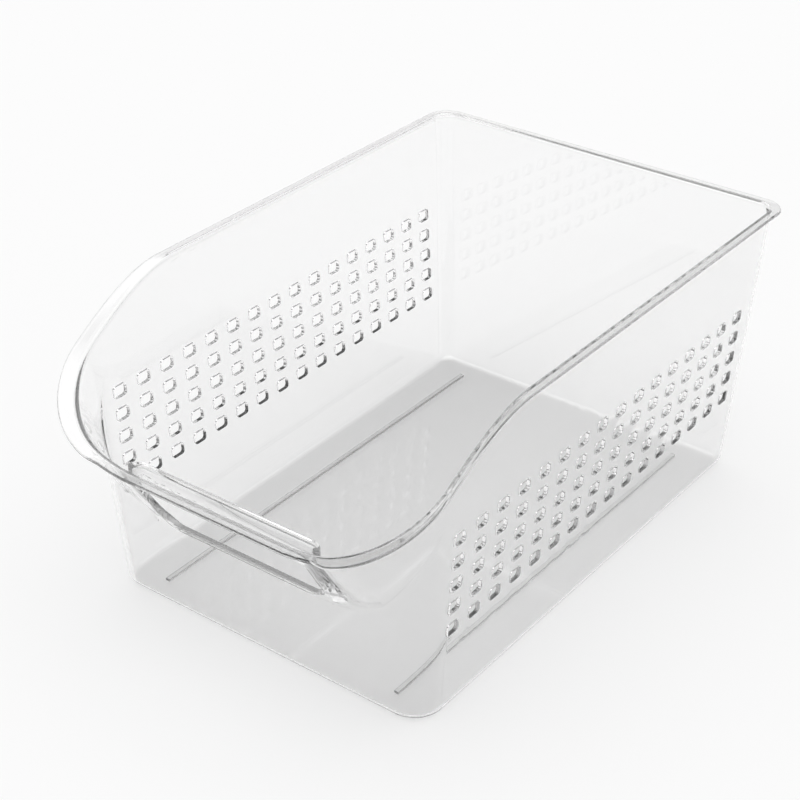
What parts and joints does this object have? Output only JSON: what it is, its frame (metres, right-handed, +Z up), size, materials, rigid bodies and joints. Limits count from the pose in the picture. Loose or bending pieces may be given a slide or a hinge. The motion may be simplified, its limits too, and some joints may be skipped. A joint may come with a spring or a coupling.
{
  "type": "fridge organizer bin",
  "caption": "Clear open-top storage bin with perforated side walls, a rim that dips to a low flared front, a finger opening and a grip bar.",
  "frame": {"origin": "on the surface the bin stands on, under the middle of its bounding box", "axes": "+Z up, -Y out of the low front with the handle, +X to the right as seen from the front"},
  "size_m": [0.209, 0.3142, 0.1465],
  "materials": {
    "clear_body": "clear, polished, injection moulded",
    "clear_grip": "clear, polished",
    "clear_rail": "clear, polished"
  },
  "bodies": {
    "root": {"tub": "clear_body", "grip_bar": "clear_grip", "floor_rail_left": "clear_rail", "floor_rail_right": "clear_rail"}
  },
  "joints": []
}
